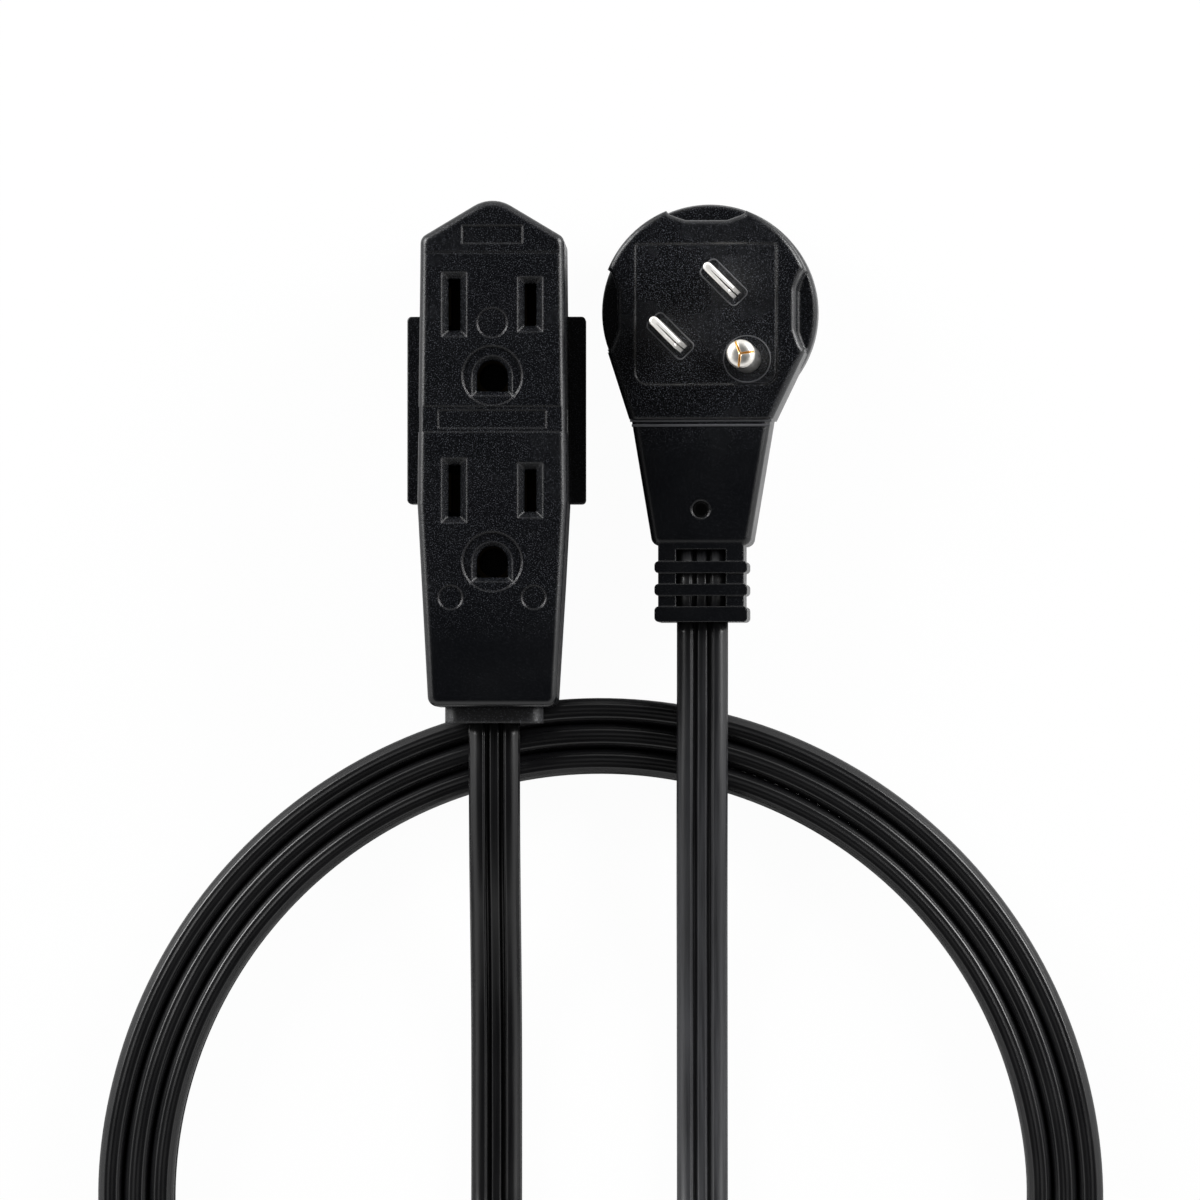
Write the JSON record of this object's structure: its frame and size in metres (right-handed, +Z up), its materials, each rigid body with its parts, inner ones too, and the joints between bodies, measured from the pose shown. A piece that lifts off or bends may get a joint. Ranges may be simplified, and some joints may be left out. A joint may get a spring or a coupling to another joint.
{
  "type": "household extension cord",
  "caption": "Flat household extension cord, black, with a flat angled grounded plug, a block of grounded outlets and the cord laid in a coil.",
  "frame": {"origin": "on the surface it lies on, under the middle of the connector block with its collar", "axes": "+Z up from the surface, out of the front outlets; +Y from the cord towards the block's gabled end; +X to the right seen from above, towards the plug"},
  "size_m": [0.1692, 0.2623, 0.0369],
  "materials": {
    "block_shell": "fine grained black",
    "collar": "fine grained black",
    "carrier": "plain black",
    "contact_brass": "plain brass strip",
    "copper": "bare copper strands",
    "neutral_insulation": "white",
    "line_insulation": "black",
    "ground_insulation": "green",
    "cord_jacket": "smooth semi-gloss black",
    "plug_moulding": "soft grained black",
    "plug_bridge": "grained black",
    "blade_brass": "folded brass, thinly plated"
  },
  "bodies": {
    "root": {"connector_front_shell": "block_shell", "connector_rear_shell": "block_shell", "cord_collar": "collar", "contact_carrier": "carrier", "contact_cover": "carrier", "neutral_contact_strip": "contact_brass", "line_contact_strip": "contact_brass", "ground_contact_strip": "contact_brass", "neutral_lead": "neutral_insulation", "neutral_lead_core": "copper", "line_lead": "line_insulation", "line_lead_core": "copper", "ground_lead": "ground_insulation", "ground_lead_core": "copper", "connector_cord_tail": "cord_jacket", "cord_coil": "cord_jacket", "plug_cord_tail": "cord_jacket", "plug_body": "plug_moulding", "plug_bridge": "plug_bridge", "plug_line_blade": "blade_brass", "plug_neutral_blade": "blade_brass", "plug_ground_pin": "blade_brass", "plug_line_lead": "line_insulation", "plug_line_lead_core": "copper", "plug_neutral_lead": "neutral_insulation", "plug_neutral_lead_core": "copper", "plug_ground_lead": "ground_insulation", "plug_ground_lead_core": "copper"}
  },
  "joints": []
}
